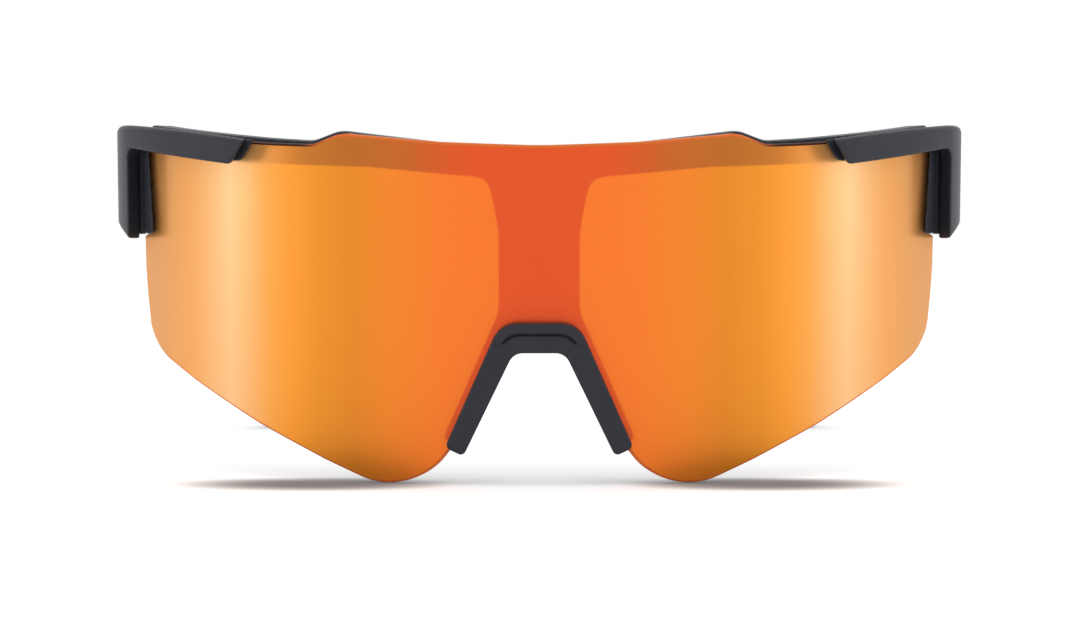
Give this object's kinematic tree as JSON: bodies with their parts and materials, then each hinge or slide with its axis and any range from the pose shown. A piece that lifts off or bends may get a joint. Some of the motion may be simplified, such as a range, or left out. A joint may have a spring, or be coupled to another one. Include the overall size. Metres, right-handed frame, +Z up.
{
  "type": "wrap-around shield sunglasses",
  "caption": "Wrap-around shield sunglasses with a single mirrored lens, a half frame behind its upper edge, a clip-on nose piece and folding temples with rubber ear grips.",
  "frame": {"origin": "on the surface the glasses stand on, under the middle of the open glasses' bounding box", "axes": "+X to the wearer's left, +Y from the lens back towards the ears, +Z up"},
  "size_m": [0.1494, 0.1681, 0.0605],
  "materials": {
    "mirror_lens": "orange mirror coating on tinted polycarbonate",
    "frame_plastic": "satin black moulded nylon",
    "cover_plastic": "satin black moulded nylon",
    "nose_plastic": "satin black moulded nylon",
    "temple_plastic": "satin black moulded nylon",
    "pad_rubber": "soft matte rubber",
    "grip_rubber": "soft matte rubber",
    "hinge_steel": "stamped nickel-plated steel",
    "screw_steel": "turned nickel-plated steel"
  },
  "bodies": {
    "front": {"lens": "mirror_lens", "brow_frame": "frame_plastic", "nose_piece": "nose_plastic", "end_cover_left": "cover_plastic", "end_cover_right": "cover_plastic", "nose_pad_left": "pad_rubber", "nose_pad_right": "pad_rubber", "hinge_frame_leaf_left": "hinge_steel", "hinge_frame_leaf_right": "hinge_steel", "hinge_screw_left": "screw_steel", "hinge_screw_right": "screw_steel", "cover_screws_left": "screw_steel", "cover_screws_right": "screw_steel"},
    "temple_left": {"temple_arm_left": "temple_plastic", "ear_grip_left": "grip_rubber", "hinge_temple_leaf_left": "hinge_steel", "temple_screws_left": "screw_steel"},
    "temple_right": {"temple_arm_right": "temple_plastic", "ear_grip_right": "grip_rubber", "hinge_temple_leaf_right": "hinge_steel", "temple_screws_right": "screw_steel"}
  },
  "joints": [
    {"name": "left_temple_hinge", "type": "hinge", "parent": "front", "child": "temple_left", "pos_m": [0.0659, -0.0332, 0.0536], "axis": [0, 0, 1], "range_deg": [0, 90]},
    {"name": "right_temple_hinge", "type": "hinge", "parent": "front", "child": "temple_right", "pos_m": [-0.0659, -0.0332, 0.0536], "axis": [0, 0, -1], "range_deg": [0, 80]}
  ]
}
